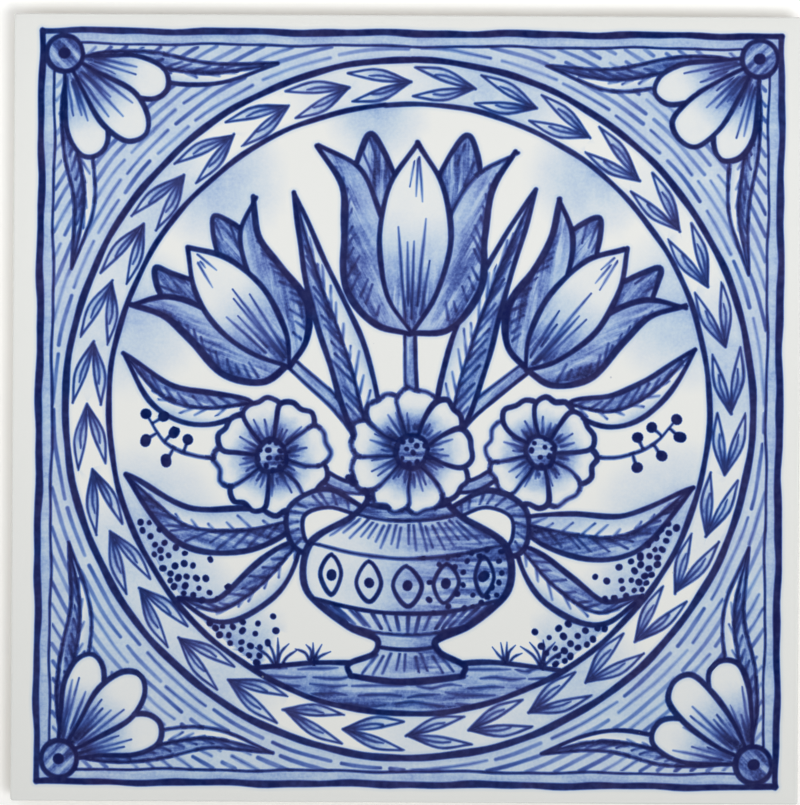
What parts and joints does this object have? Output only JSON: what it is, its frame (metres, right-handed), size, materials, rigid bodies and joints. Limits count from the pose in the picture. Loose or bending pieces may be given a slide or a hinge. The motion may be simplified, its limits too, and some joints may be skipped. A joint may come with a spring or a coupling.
{
  "type": "delft tile",
  "caption": "Square tin-glazed earthenware wall tile with a blue painted face, a rounded front edge, leaning sides and a keyed back for bedding.",
  "frame": {"origin": "middle of the back face, which lies on the floor or on the wall's mortar bed", "axes": "+X to the right of the painted face, +Y to its top, +Z out of the painted face"},
  "size_m": [0.13, 0.13, 0.008],
  "materials": {
    "painted_glaze": "glossy white tin glaze with blue painting on the face, bare cream biscuit on the back and lower edges"
  },
  "bodies": {
    "root": {"tile": "painted_glaze"}
  },
  "joints": []
}
